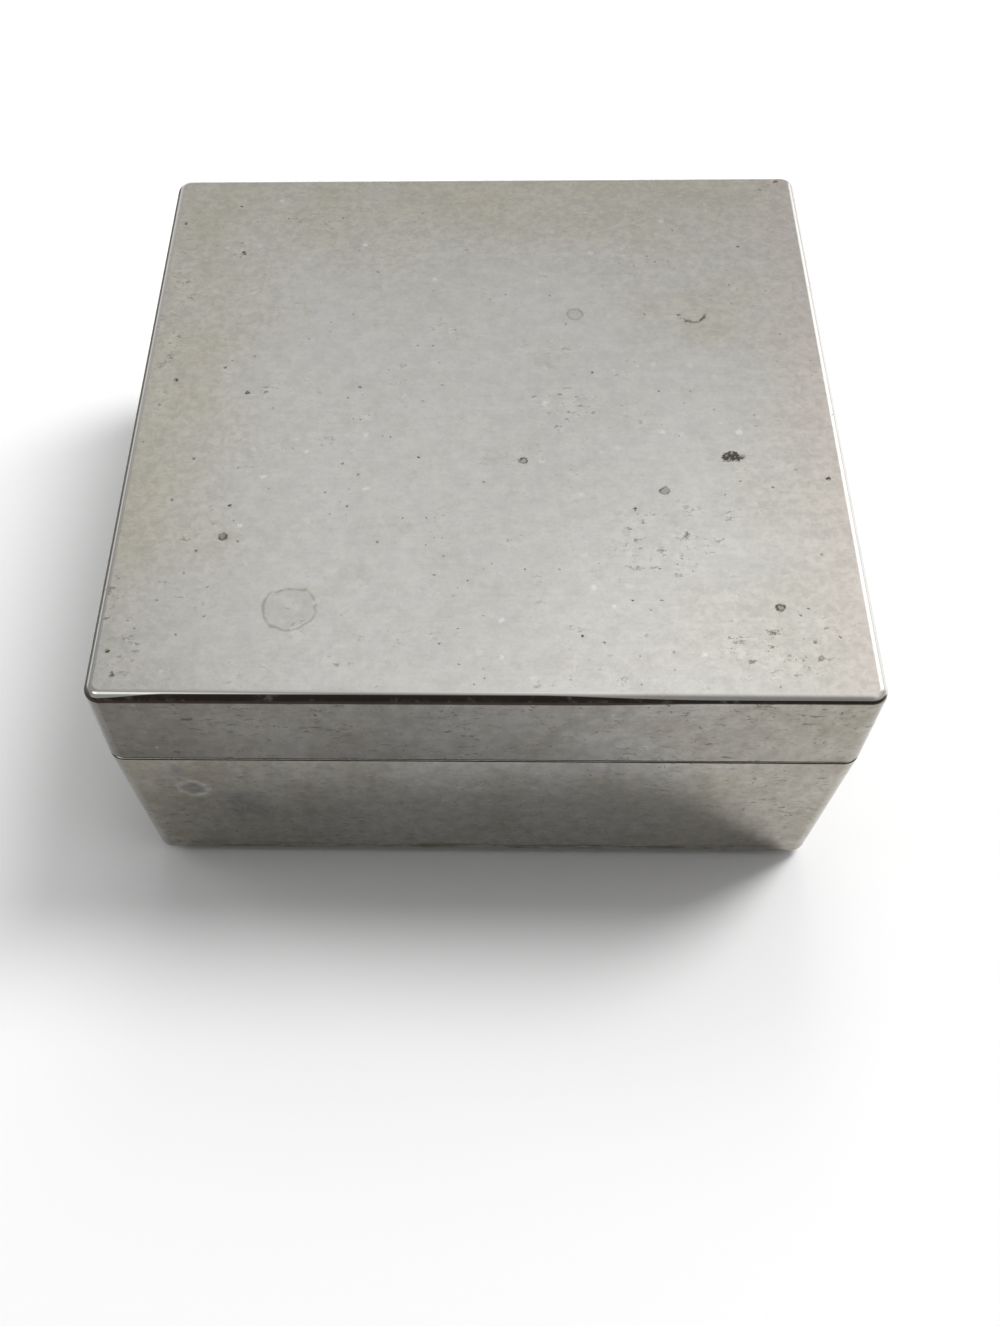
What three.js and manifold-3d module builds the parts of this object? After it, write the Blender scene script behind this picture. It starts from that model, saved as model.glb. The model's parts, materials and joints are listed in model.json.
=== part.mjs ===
// A hinged trinket box in silver-plated sheet metal, lined with velvet.
// Millimetres, +Z up. The origin is the middle of the underside, the front faces -Y
// and the hinge runs along the rear wall, at +Y.

import * as THREE from 'three';
import { mergeVertices } from 'three/addons/utils/BufferGeometryUtils.js';
import Module from 'manifold-3d';

const wasm = await Module();
wasm.setup();

// Metal pans
const WIDTH = 102;
const DEPTH = 105;
const BASE_HEIGHT = 28.1;
const LID_HEIGHT = 14.5;
const SEAM_GAP = 0.3;
const SHEET = 1;
const CORNER_RADIUS = 2.3;
const LID_EDGE_RADIUS = 1.4;
const BASE_EDGE_RADIUS = 1.1;
const RIM_ROUND = 0.25;
// How far each wall of the base leans in between the rim and the bottom
const BASE_TAPER = 1.2;

// Felt under the base
const FELT_THICKNESS = 0.8;
const FELT_MARGIN = 2.2;

// Wall lining: card panels covered in velvet
const LINING_THICKNESS = 1.8;
const LINING_ROUND = 0.5;
// The base's lining stands above the rim and locates the lid
const LIP_HEIGHT = 2.5;
const LIP_CLEARANCE = 0.5;
// Room behind a panel for glue and turned-in velvet
const LINING_GAP = 0.4;
const PANEL_GAP = 0.3;

// Pads on the floor and under the lid, each on a card board
const BOARD_THICKNESS = 1;
const PAD_CORNER_RADIUS = 1.5;
const PAD_ROUND = 0.8;
const PAD_GAP = 0.4;
const FLOOR_PAD_THICKNESS = 2;
const FLOOR_PAD_CROWN = 0.8;
const LID_PAD_THICKNESS = 2;
const LID_PAD_CROWN = 1.4;
const GLUE_FILM = 0.3;

// Rolled hinge along the rear wall
const KNUCKLES = 9;
const BARREL_RADIUS = 1.3;
const BARREL_END_GAP = 1.6;
const BARREL_CLEARANCE = 0.35;
const KNUCKLE_GAP = 0.3;
const CURL_SLIT = 0.15;
const LEAF_THICKNESS = 0.5;
const LEAF_REACH = 8;
const LEAF_END_GAP = 0.3;
const SOLDER_FILM = 0.1;
const PIN_CLEARANCE = 0.1;
const PIN_CHAMFER = 0.2;

// Fineness of round surfaces
const CORNER_STEPS = 8;
const SOFT_CORNER_STEPS = 3;
const EDGE_DIVISIONS = 3;
const SOFT_EDGE_DIVISIONS = 2;
const CROWN_STEPS = 6;
const CURL_DIVISIONS = 18;
const PIN_STEPS = 32;

// The smallest radius of an inner edge, and the distance within which two points are one
const SHARP = 0.05;
const WELD = 1e-4;
const QUARTER_TURN = Math.PI / 2;

// Heights
const BASE_BOTTOM = FELT_THICKNESS + GLUE_FILM;
const BASE_FLOOR = BASE_BOTTOM + SHEET;
const BASE_RIM = BASE_BOTTOM + BASE_HEIGHT;
const LID_RIM = BASE_RIM + SEAM_GAP;
const LID_TOP = LID_RIM + LID_HEIGHT;
const LID_CEILING = LID_TOP - SHEET;
const LIP_TOP = BASE_RIM + LIP_HEIGHT;

// The hinge axis lies in the seam, over the middle of the leaves
const HINGE_Y = DEPTH / 2 - SHEET - SOLDER_FILM - LEAF_THICKNESS / 2;
const HINGE_Z = BASE_RIM + SEAM_GAP / 2;
const BARREL_LENGTH = WIDTH - 2 * BARREL_END_GAP;
const BARREL_ROOM = BARREL_RADIUS + BARREL_CLEARANCE;
const KNUCKLE_PITCH = (BARREL_LENGTH + KNUCKLE_GAP) / KNUCKLES;
const WALL_LEAN = Math.atan(BASE_TAPER / BASE_HEIGHT);

// How deep the lining stands behind the outside of each wall
const LINING_DEPTH = SHEET + LINING_GAP;
const REAR_LINING_DEPTH = SHEET + SOLDER_FILM + LEAF_THICKNESS + LINING_GAP;
const INNER_CORNER_RADIUS = Math.max(CORNER_RADIUS - SHEET, SHARP);
const PANEL_END_DEPTH = SHEET + Math.max(INNER_CORNER_RADIUS, LINING_GAP);

// The leaves stop short of the round corners, also where the base's walls lean in
const LEAF_LEAN = LEAF_REACH * Math.tan(WALL_LEAN);
const LEAF_LENGTH = WIDTH - 2 * (PANEL_END_DEPTH + LEAF_LEAN + LEAF_END_GAP);

const silverPlate = { color: 0xbab7b0, roughness: 0.3, metalness: 1 };
const hingeMetal = { color: 0xaaa69c, roughness: 0.38, metalness: 1 };
const pinMetal = { color: 0x9a968e, roughness: 0.35, metalness: 1 };
const velvet = { color: 0x1b2444, roughness: 0.95, metalness: 0 };
const felt = { color: 0x16181f, roughness: 1, metalness: 0 };
const card = { color: 0x8c8478, roughness: 0.9, metalness: 0 };

// A closed mesh as a solid that can be cut
function solidOf(geometry) {
  const bare = geometry.clone();
  bare.deleteAttribute('normal');
  bare.deleteAttribute('uv');
  const merged = mergeVertices(bare, WELD);
  const vertProperties = Float32Array.from(merged.attributes.position.array);
  const triVerts = Uint32Array.from(merged.index.array);
  return new wasm.Manifold(new wasm.Mesh({ numProp: 3, vertProperties, triVerts }));
}

// A cut solid as a geometry again
function geometryOf(solid) {
  const { vertProperties, triVerts } = solid.getMesh();
  const geometry = new THREE.BufferGeometry();
  geometry.setAttribute('position', new THREE.BufferAttribute(vertProperties, 3));
  geometry.setIndex(new THREE.BufferAttribute(triVerts, 1));
  geometry.computeVertexNormals();
  return geometry;
}

// A box between two corners
function boxBetween(low, high) {
  const size = new THREE.Vector3().subVectors(high, low);
  const middle = new THREE.Vector3().addVectors(low, high).multiplyScalar(0.5);
  return new THREE.BoxGeometry(size.x, size.y, size.z).translate(middle.x, middle.y, middle.z);
}

// The points of a drawn section, without doubles where its lines and arcs join
function pointsOf(section, divisions) {
  const points = section.getPoints(divisions);
  return points.filter((point, i) => i === 0 || point.distanceTo(points[i - 1]) > WELD);
}

// A rectangle with round corners at one height, counter-clockwise seen from above
function ringAt({ left, right, front, back }, cornerRadius, steps, z) {
  const radius = Math.max(cornerRadius, SHARP);
  const centres = [
    [right - radius, back - radius],
    [left + radius, back - radius],
    [left + radius, front + radius],
    [right - radius, front + radius],
  ];
  return centres.flatMap(([x, y], quarter) => {
    const points = [];
    for (let step = 0; step <= steps; step += 1) {
      const angle = (quarter + step / steps) * QUARTER_TURN;
      points.push(new THREE.Vector3(x + radius * Math.cos(angle), y + radius * Math.sin(angle), z));
    }
    return points;
  });
}

// The same rectangle, moved in by one depth on every side
function inset({ left, right, front, back }, depth) {
  return { left: left + depth, right: right - depth, front: front + depth, back: back - depth };
}

// A closed skin over a row of rings, with a flat cap on the first and the last
function loft(rings) {
  const count = rings[0].length;
  const points = rings.flat();
  const index = [];
  for (let level = 0; level + 1 < rings.length; level += 1) {
    for (let k = 0; k < count; k += 1) {
      const a = level * count + k;
      const b = level * count + ((k + 1) % count);
      index.push(a, b, b + count, a, b + count, a + count);
    }
  }
  const lastRing = points.length - count;
  const middleOf = (ring) => ring.reduce((sum, point) => sum.add(point), new THREE.Vector3()).divideScalar(count);
  const firstMiddle = points.push(middleOf(rings[0])) - 1;
  const lastMiddle = points.push(middleOf(rings[rings.length - 1])) - 1;
  for (let k = 0; k < count; k += 1) {
    const next = (k + 1) % count;
    index.push(firstMiddle, next, k);
    index.push(lastMiddle, lastRing + k, lastRing + next);
  }
  const geometry = new THREE.BufferGeometry().setFromPoints(points);
  geometry.setIndex(index);
  geometry.computeVertexNormals();
  return geometry;
}

// Outline of the base at a height: its walls lean in towards the bottom
function basePlan(z) {
  const lean = (BASE_TAPER * (BASE_RIM - z)) / BASE_HEIGHT;
  const whole = { left: -WIDTH / 2, right: WIDTH / 2, front: -DEPTH / 2, back: DEPTH / 2 };
  return inset(whole, lean);
}

// Outline of the lid, whose walls are upright
function lidPlan() {
  return basePlan(BASE_RIM);
}

// A pan of sheet metal: its wall section is carried round the plan
function pan(section, planAt) {
  const rings = pointsOf(section, EDGE_DIVISIONS).map(({ x: depth, y: z }) => (
    ringAt(inset(planAt(z), depth), CORNER_RADIUS - depth, CORNER_STEPS, z)
  ));
  return loft(rings);
}

// The slot across the rear wall that the hinge barrel lies in. Its edges stop the open lid.
function hingeSlot() {
  const low = new THREE.Vector3(-WIDTH, HINGE_Y, HINGE_Z - BARREL_ROOM);
  const high = new THREE.Vector3(WIDTH, DEPTH, HINGE_Z + BARREL_ROOM);
  return boxBetween(low, high);
}

// Deep pan, drawn from the middle of its underside out, up and back in
function baseShell() {
  const innerRadius = Math.max(BASE_EDGE_RADIUS - SHEET, SHARP);
  const wall = new THREE.Path();
  wall.moveTo(BASE_EDGE_RADIUS, BASE_BOTTOM);
  wall.absarc(BASE_EDGE_RADIUS, BASE_BOTTOM + BASE_EDGE_RADIUS, BASE_EDGE_RADIUS, -QUARTER_TURN, -Math.PI, true);
  wall.absarc(RIM_ROUND, BASE_RIM - RIM_ROUND, RIM_ROUND, Math.PI, QUARTER_TURN, true);
  wall.lineTo(SHEET, BASE_RIM);
  wall.lineTo(SHEET, BASE_FLOOR + innerRadius);
  wall.absarc(SHEET + innerRadius, BASE_FLOOR + innerRadius, innerRadius, Math.PI, 3 * QUARTER_TURN, false);
  const shell = solidOf(pan(wall, basePlan));
  return geometryOf(shell.subtract(solidOf(hingeSlot())));
}

// Shallow pan, drawn from the middle of its ceiling out, down and up to its top
function lidShell() {
  const innerRadius = Math.max(LID_EDGE_RADIUS - SHEET, SHARP);
  const wall = new THREE.Path();
  wall.moveTo(SHEET + innerRadius, LID_CEILING);
  wall.absarc(SHEET + innerRadius, LID_CEILING - innerRadius, innerRadius, QUARTER_TURN, Math.PI, false);
  wall.lineTo(SHEET, LID_RIM);
  wall.lineTo(RIM_ROUND, LID_RIM);
  wall.absarc(RIM_ROUND, LID_RIM + RIM_ROUND, RIM_ROUND, -QUARTER_TURN, -Math.PI, true);
  wall.absarc(LID_EDGE_RADIUS, LID_TOP - LID_EDGE_RADIUS, LID_EDGE_RADIUS, Math.PI, QUARTER_TURN, true);
  const shell = solidOf(pan(wall, lidPlan));
  return geometryOf(shell.subtract(solidOf(hingeSlot())));
}

// One velvet-covered panel, with its edges rounded over
function lining(planAt, low, high) {
  const edge = new THREE.Path();
  edge.moveTo(LINING_ROUND, low);
  edge.absarc(LINING_ROUND, low + LINING_ROUND, LINING_ROUND, -QUARTER_TURN, -Math.PI, true);
  edge.absarc(LINING_ROUND, high - LINING_ROUND, LINING_ROUND, Math.PI, QUARTER_TURN, true);
  const rings = pointsOf(edge, SOFT_EDGE_DIVISIONS).map(({ x: depth, y: z }) => (
    ringAt(inset(planAt(z), depth), LINING_ROUND - depth, SOFT_CORNER_STEPS, z)
  ));
  return loft(rings);
}

// Plans of the four panels inside a pan, as functions of the height
function liningPlans(wallsAt) {
  const linedFront = (z) => wallsAt(z).front + LINING_DEPTH + LINING_THICKNESS;
  const linedBack = (z) => wallsAt(z).back - REAR_LINING_DEPTH - LINING_THICKNESS;
  const across = (z) => ({
    left: wallsAt(z).left + PANEL_END_DEPTH,
    right: wallsAt(z).right - PANEL_END_DEPTH,
  });
  const along = (z) => ({ front: linedFront(z) + PANEL_GAP, back: linedBack(z) - PANEL_GAP });
  return {
    front: (z) => ({ ...across(z), front: linedFront(z) - LINING_THICKNESS, back: linedFront(z) }),
    rear: (z) => ({ ...across(z), front: linedBack(z), back: linedBack(z) + LINING_THICKNESS }),
    left: (z) => {
      const outer = wallsAt(z).left + LINING_DEPTH;
      return { ...along(z), left: outer, right: outer + LINING_THICKNESS };
    },
    right: (z) => {
      const outer = wallsAt(z).right - LINING_DEPTH;
      return { ...along(z), left: outer - LINING_THICKNESS, right: outer };
    },
  };
}

// The clear plan between the four panels of a pan at one height
function linedPlan(wallsAt, z) {
  const plans = liningPlans(wallsAt);
  return {
    left: plans.left(z).right,
    right: plans.right(z).left,
    front: plans.front(z).back,
    back: plans.rear(z).front,
  };
}

// A flat card or felt sheet
function flatSheet(plan, low, thickness) {
  const heights = [low, low + thickness];
  return loft(heights.map((z) => ringAt(plan, PAD_CORNER_RADIUS, SOFT_CORNER_STEPS, z)));
}

// A velvet pad on its back, round at its edges, with a low crown
function pad(plan, thickness, crown) {
  const halfWidth = (plan.right - plan.left) / 2;
  const halfDepth = (plan.back - plan.front) / 2;
  const centred = { left: -halfWidth, right: halfWidth, front: -halfDepth, back: halfDepth };
  const edge = new THREE.Path();
  edge.moveTo(0, 0);
  edge.lineTo(0, thickness - PAD_ROUND);
  edge.absarc(PAD_ROUND, thickness - PAD_ROUND, PAD_ROUND, Math.PI, QUARTER_TURN, true);
  const crownReach = Math.min(halfWidth, halfDepth) - PAD_ROUND - PAD_CORNER_RADIUS;
  for (let step = 1; step <= CROWN_STEPS; step += 1) {
    const part = step / CROWN_STEPS;
    edge.lineTo(PAD_ROUND + crownReach * part, thickness + crown * Math.sin(part * QUARTER_TURN));
  }
  const rings = pointsOf(edge, SOFT_EDGE_DIVISIONS).map(({ x: depth, y: z }) => (
    ringAt(inset(centred, depth), PAD_CORNER_RADIUS, SOFT_CORNER_STEPS, z)
  ));
  return loft(rings);
}

// Section of a hinge leaf in its own plane, with the pin at the origin and the leaf below it.
// The strip is centred on its barrel and rolled round until it nearly meets itself.
function leafSection() {
  const halfStrip = LEAF_THICKNESS / 2;
  const boreRadius = BARREL_RADIUS - LEAF_THICKNESS;
  const outerStart = -QUARTER_TURN + Math.asin(halfStrip / BARREL_RADIUS);
  const outerEnd = 3 * QUARTER_TURN - Math.asin((halfStrip + CURL_SLIT) / BARREL_RADIUS);
  const innerStart = 3 * QUARTER_TURN - Math.asin((halfStrip + CURL_SLIT) / boreRadius);
  const innerEnd = -QUARTER_TURN - Math.asin(halfStrip / boreRadius);
  const section = new THREE.Shape();
  section.moveTo(-halfStrip, -LEAF_REACH);
  section.lineTo(halfStrip, -LEAF_REACH);
  section.absarc(0, 0, BARREL_RADIUS, outerStart, outerEnd, false);
  section.absarc(0, 0, boreRadius, innerStart, innerEnd, true);
  section.lineTo(-halfStrip, -LEAF_REACH);
  return section;
}

// A rolled leaf with gaps for the other leaf's knuckles, cut back at both ends below its barrel.
// parity says which knuckles it keeps.
function hingeLeaf(parity) {
  const blank = new THREE.ExtrudeGeometry(leafSection(), {
    depth: BARREL_LENGTH,
    bevelEnabled: false,
    curveSegments: CURL_DIVISIONS,
  });
  const alongX = new THREE.Matrix4().makeBasis(
    new THREE.Vector3(0, 1, 0),
    new THREE.Vector3(0, 0, 1),
    new THREE.Vector3(1, 0, 0),
  );
  blank.applyMatrix4(alongX).translate(-BARREL_LENGTH / 2, 0, 0);
  let leaf = solidOf(blank);
  for (let knuckle = 1 - parity; knuckle < KNUCKLES; knuckle += 2) {
    const start = -BARREL_LENGTH / 2 + knuckle * KNUCKLE_PITCH;
    const low = new THREE.Vector3(start - KNUCKLE_GAP, -BARREL_ROOM, -BARREL_ROOM);
    const high = new THREE.Vector3(start + KNUCKLE_PITCH, BARREL_ROOM, BARREL_ROOM);
    leaf = leaf.subtract(solidOf(boxBetween(low, high)));
  }
  for (const side of [-1, 1]) {
    const middle = (side * (LEAF_LENGTH + WIDTH)) / 2;
    const low = new THREE.Vector3(middle - WIDTH / 2, -BARREL_ROOM, -2 * LEAF_REACH);
    const high = new THREE.Vector3(middle + WIDTH / 2, BARREL_ROOM, -BARREL_RADIUS);
    leaf = leaf.subtract(solidOf(boxBetween(low, high)));
  }
  return geometryOf(leaf);
}

// Wire pin with chamfered ends, as long as the barrel
function hingePin() {
  const radius = BARREL_RADIUS - LEAF_THICKNESS - PIN_CLEARANCE;
  const half = BARREL_LENGTH / 2;
  const profile = [
    new THREE.Vector2(0, -half),
    new THREE.Vector2(radius - PIN_CHAMFER, -half),
    new THREE.Vector2(radius, -half + PIN_CHAMFER),
    new THREE.Vector2(radius, half - PIN_CHAMFER),
    new THREE.Vector2(radius - PIN_CHAMFER, half),
    new THREE.Vector2(0, half),
  ];
  return new THREE.LatheGeometry(profile, PIN_STEPS).rotateZ(QUARTER_TURN);
}

// A named piece of the box in its finish
function piece(name, geometry, finish) {
  const mesh = new THREE.Mesh(geometry, new THREE.MeshStandardMaterial(finish));
  mesh.name = name;
  return mesh;
}

// The four panels of a pan. lows and highs give each panel's lower and upper edge.
function addLinings(group, prefix, wallsAt, lows, highs) {
  const plans = liningPlans(wallsAt);
  for (const side of ['front', 'rear', 'left', 'right']) {
    const panel = lining(plans[side], lows[side], highs[side]);
    group.add(piece(`${prefix}_${side}_lining`, panel, velvet));
  }
}

// Base: pan, felt, lining, floor board and pad
const base = new THREE.Group();
base.add(piece('base_shell', baseShell(), silverPlate));
const feltPlan = inset(basePlan(BASE_BOTTOM), BASE_EDGE_RADIUS + FELT_MARGIN);
base.add(piece('base_felt', flatSheet(feltPlan, 0, FELT_THICKNESS), felt));

const baseLiningLow = BASE_FLOOR + GLUE_FILM;
const baseRearLiningHigh = HINGE_Z - BARREL_ROOM;
addLinings(
  base,
  'base',
  basePlan,
  { front: baseLiningLow, rear: baseLiningLow, left: baseLiningLow, right: baseLiningLow },
  { front: LIP_TOP, rear: baseRearLiningHigh, left: LIP_TOP, right: LIP_TOP },
);

const floorPlan = inset(linedPlan(basePlan, BASE_FLOOR), PAD_GAP);
const floorBoardLow = BASE_FLOOR + GLUE_FILM;
const floorPadLow = floorBoardLow + BOARD_THICKNESS + GLUE_FILM;
const floorMiddle = (floorPlan.front + floorPlan.back) / 2;
base.add(piece('base_floor_board', flatSheet(floorPlan, floorBoardLow, BOARD_THICKNESS), card));
const floorPad = piece('base_floor_pad', pad(floorPlan, FLOOR_PAD_THICKNESS, FLOOR_PAD_CROWN), velvet);
floorPad.position.set(0, floorMiddle, floorPadLow);
base.add(floorPad);

// Lid: pan, lining, board and pad
const lid = new THREE.Group();
lid.add(piece('lid_shell', lidShell(), silverPlate));

const lidLiningHigh = LID_CEILING - GLUE_FILM;
const lidLiningLow = LIP_TOP + LIP_CLEARANCE;
const lidRearLiningLow = HINGE_Z + BARREL_ROOM;
addLinings(
  lid,
  'lid',
  lidPlan,
  { front: lidLiningLow, rear: lidRearLiningLow, left: lidLiningLow, right: lidLiningLow },
  { front: lidLiningHigh, rear: lidLiningHigh, left: lidLiningHigh, right: lidLiningHigh },
);

const ceilingPlan = inset(linedPlan(lidPlan, LID_CEILING), PAD_GAP);
const lidBoardLow = LID_CEILING - GLUE_FILM - BOARD_THICKNESS;
const ceilingMiddle = (ceilingPlan.front + ceilingPlan.back) / 2;
lid.add(piece('lid_pad_board', flatSheet(ceilingPlan, lidBoardLow, BOARD_THICKNESS), card));
const lidPad = piece('lid_pad', pad(ceilingPlan, LID_PAD_THICKNESS, LID_PAD_CROWN), velvet);
lidPad.position.set(0, ceilingMiddle, lidBoardLow - GLUE_FILM);
lidPad.rotation.x = Math.PI;
lid.add(lidPad);

// Hinge: the base's leaf leans with its wall, and the lid's leaf stands upright above the pin
const hinge = new THREE.Group();
hinge.position.set(0, HINGE_Y, HINGE_Z);
const baseLeaf = piece('hinge_base_leaf', hingeLeaf(0), hingeMetal);
baseLeaf.rotation.x = -WALL_LEAN;
hinge.add(baseLeaf);
const lidLeaf = piece('hinge_lid_leaf', hingeLeaf(1), hingeMetal);
lidLeaf.rotation.x = Math.PI;
hinge.add(lidLeaf);
hinge.add(piece('hinge_pin', hingePin(), pinMetal));

const trinketBox = new THREE.Group();
trinketBox.add(base, lid, hinge);

export default trinketBox;
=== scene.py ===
"""A hinged trinket box in dulled silver plate, lined with velvet, on a plain pale floor."""

import json
import math

import bmesh
import bpy
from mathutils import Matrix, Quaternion, Vector


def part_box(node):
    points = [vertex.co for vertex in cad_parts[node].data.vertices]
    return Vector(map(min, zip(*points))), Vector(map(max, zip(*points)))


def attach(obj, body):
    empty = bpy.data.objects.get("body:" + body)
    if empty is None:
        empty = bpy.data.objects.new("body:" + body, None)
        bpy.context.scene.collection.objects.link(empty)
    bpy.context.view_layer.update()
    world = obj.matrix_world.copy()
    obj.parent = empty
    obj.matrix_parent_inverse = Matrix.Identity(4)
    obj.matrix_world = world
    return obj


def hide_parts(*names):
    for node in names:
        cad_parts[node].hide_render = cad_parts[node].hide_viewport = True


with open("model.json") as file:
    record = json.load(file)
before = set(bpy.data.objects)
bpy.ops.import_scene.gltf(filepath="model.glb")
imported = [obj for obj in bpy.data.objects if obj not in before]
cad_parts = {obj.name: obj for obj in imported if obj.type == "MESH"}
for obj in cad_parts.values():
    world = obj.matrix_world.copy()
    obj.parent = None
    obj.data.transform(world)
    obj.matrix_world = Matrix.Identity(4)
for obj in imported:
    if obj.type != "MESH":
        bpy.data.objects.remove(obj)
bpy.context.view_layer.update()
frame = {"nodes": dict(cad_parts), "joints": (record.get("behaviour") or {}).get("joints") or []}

MM = 0.001
UP = Vector((0, 0, 1))

# How closely the normal of a picked face follows the direction that it is picked by
FACING = 0.9

# Sheet metal, as in the part's source
SHEET = 1.0 * MM
CORNER_RADIUS = 2.3 * MM
LID_EDGE_RADIUS = 1.4 * MM
BASE_EDGE_RADIUS = 1.1 * MM
RIM_ROUND = 0.25 * MM
BASE_TAPER = 1.2 * MM

# Hinge, as in the part's source
HINGE = Vector(frame["joints"][0]["pos_m"])
BARREL_ROOM = 1.65 * MM
KNUCKLES = 9
BARREL_RADIUS = 1.3 * MM
BARREL_LENGTH = 98.8 * MM
KNUCKLE_GAP = 0.3 * MM
KNUCKLE_PITCH = (BARREL_LENGTH + KNUCKLE_GAP) / KNUCKLES
CURL_SLIT = 0.15 * MM
CURL_STEPS = 30
LEAF_THICKNESS = 0.5 * MM
LEAF_EDGE_BREAK = 0.06 * MM
LEAF_REACH = 8.0 * MM
LEAF_LENGTH = 2 * (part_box("hinge_lid_leaf")[1].x)
PIN_RADIUS = 0.7 * MM
PIN_CHAMFER = 0.2 * MM
PIN_SIDES = 40

# Velvet lining and felt
LINING_THICKNESS = 1.8 * MM
LINING_ROUND = 0.5 * MM
LINING_CROWN = 0.2 * MM
LINING_TAPER = 1.25 * MM
PAD_CORNER_RADIUS = 1.5 * MM
PAD_ROUND = 0.8 * MM
PAD_THICKNESS = 2.0 * MM
PAD_SQUARE = 3.2 * MM
LINING_SQUARE = 4.0 * MM
FELT_CORNER_RADIUS = 1.5 * MM
FELT_EDGE_ROUND = 0.2 * MM
SWELL_FRAMES = 20
SWELL_PRESSURE = 4
CLOTH_MASS = 0.001

# Angles up to which neighbouring faces are shaded as one surface
METAL_SMOOTHING = math.radians(35)
FELT_SMOOTHING = math.radians(50)
CLOTH_SMOOTHING = math.radians(60)

# Outline of the two pans
LID_LOW, LID_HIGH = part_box("lid_shell")
BASE_LOW, BASE_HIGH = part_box("base_shell")
BASE_LOW.y, BASE_HIGH.y = LID_LOW.y, LID_HIGH.y
WIDTH = LID_HIGH.x - LID_LOW.x
DEPTH = LID_HIGH.y - LID_LOW.y

# Camera, fitted to the outline of the box in the photo
PHOTO_WIDTH = 1000
PHOTO_HEIGHT = 1326
SENSOR = 36
FOCAL_LENGTH_PIXELS = 1286
AXIS_COLUMN = 440
AXIS_ROW = 800
CAMERA_PLACE = Vector((-0.9, -144.0, 177.4)) * MM
CAMERA_AIM = Vector((-6.4, -41.7, 0)) * MM
CAMERA_ROLL = math.radians(-2.27)


def deselect_all():
    bpy.ops.object.select_all(action="DESELECT")


def make_active(piece):
    deselect_all()
    piece.select_set(True)
    bpy.context.view_layer.objects.active = piece


def open_edit(piece):
    make_active(piece)
    bpy.ops.object.mode_set(mode="EDIT")


def close_edit():
    bpy.ops.object.mode_set(mode="OBJECT")


def select_where(piece, kind, wanted):
    """Selects the edges or faces of a piece in edit mode that pass the test."""
    bpy.ops.mesh.select_mode(type=kind)
    bpy.ops.mesh.select_all(action="DESELECT")
    mesh = bmesh.from_edit_mesh(piece.data)
    for element in mesh.edges if kind == "EDGE" else mesh.faces:
        if wanted(element):
            element.select_set(True)
    bmesh.update_edit_mesh(piece.data)


def apply_modifier(piece, kind, **settings):
    make_active(piece)
    step = piece.modifiers.new(kind.lower(), kind)
    for name, value in settings.items():
        setattr(step, name, value)
    bpy.ops.object.modifier_apply(modifier=step.name)


def add_block(name, low, high):
    """A cube at its size and place, as a start for a piece."""
    deselect_all()
    bpy.ops.mesh.primitive_cube_add(size=1, location=(low + high) / 2, scale=high - low)
    piece = bpy.context.object
    piece.name = name
    piece.data.name = name
    bpy.ops.object.transform_apply(location=True, rotation=True, scale=True)
    return piece


def smooth(piece, angle=METAL_SMOOTHING):
    make_active(piece)
    bpy.ops.object.shade_smooth_by_angle(angle=angle)


def pan(name, low, high, closed, edge_radius, taper):
    """A drawn sheet-metal pan. closed is 1 where its flat face is on top, and -1 where it is below."""
    corner_steps = 12
    edge_steps = 8
    rim_steps = 3
    flat_height = high.z if closed > 0 else low.z
    rim_height = low.z if closed > 0 else high.z
    height = high.z - low.z
    piece = add_block(name, low, high)
    open_edit(piece)
    select_where(piece, "FACE", lambda face: face.normal.z * closed > FACING)
    narrower = (1 - 2 * taper / WIDTH, 1 - 2 * taper / DEPTH, 1)
    bpy.ops.transform.resize(value=narrower, center_override=(0, 0, flat_height))
    select_where(piece, "EDGE", lambda edge: abs(edge.verts[0].co.z - edge.verts[1].co.z) > height / 2)
    bpy.ops.mesh.bevel(offset=CORNER_RADIUS, segments=corner_steps, affect="EDGES")
    select_where(piece, "EDGE", lambda edge: on_border(edge, lambda face: face.normal.z * closed > FACING))
    bpy.ops.mesh.bevel(offset=edge_radius, segments=edge_steps, affect="EDGES")
    select_where(piece, "FACE", lambda face: face.normal.z * closed < -FACING)
    bpy.ops.mesh.delete(type="ONLY_FACE")
    close_edit()
    apply_modifier(piece, "SOLIDIFY", thickness=SHEET, offset=-1, use_even_offset=True)
    open_edit(piece)
    select_where(piece, "EDGE", lambda edge: on_outer_rim(edge, rim_height))
    bpy.ops.mesh.bevel(offset=RIM_ROUND, segments=rim_steps, affect="EDGES")
    close_edit()
    cut_hinge_slot(piece)
    smooth(piece)
    apply_modifier(piece, "WEIGHTED_NORMAL", keep_sharp=True)
    return piece


def on_border(edge, inside):
    """True if exactly one of the edge's two faces passes the test."""
    return sum(1 for face in edge.link_faces if inside(face)) == 1


def on_outer_rim(edge, rim_height):
    """True for the outer edges of a pan's rim."""
    near = 1e-6
    if any(abs(vert.co.z - rim_height) > near for vert in edge.verts):
        return False
    middle = (edge.verts[0].co + edge.verts[1].co) / 2
    outwards = Vector((middle.x, middle.y, 0))
    return any(abs(face.normal.z) < 0.5 and face.normal.dot(outwards) > 0 for face in edge.link_faces)


def cut_hinge_slot(piece):
    """Opens the rear wall across its whole width for the hinge barrel."""
    low = Vector((-WIDTH, HINGE.y, HINGE.z - BARREL_ROOM))
    high = Vector((WIDTH, DEPTH, HINGE.z + BARREL_ROOM))
    cutter = add_block("slot_cutter", low, high)
    apply_modifier(piece, "BOOLEAN", operation="DIFFERENCE", object=cutter, solver="EXACT")
    bpy.data.objects.remove(cutter)


def finish_piece(piece, body, slot, material, *nodes):
    """Gives a piece its material and body, and lets it stand for the CAD nodes that it replaces. The slot
    is not used.
    """
    piece.data.materials.clear()
    piece.data.materials.append(material)
    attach(piece, body)
    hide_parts(*nodes)


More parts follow.
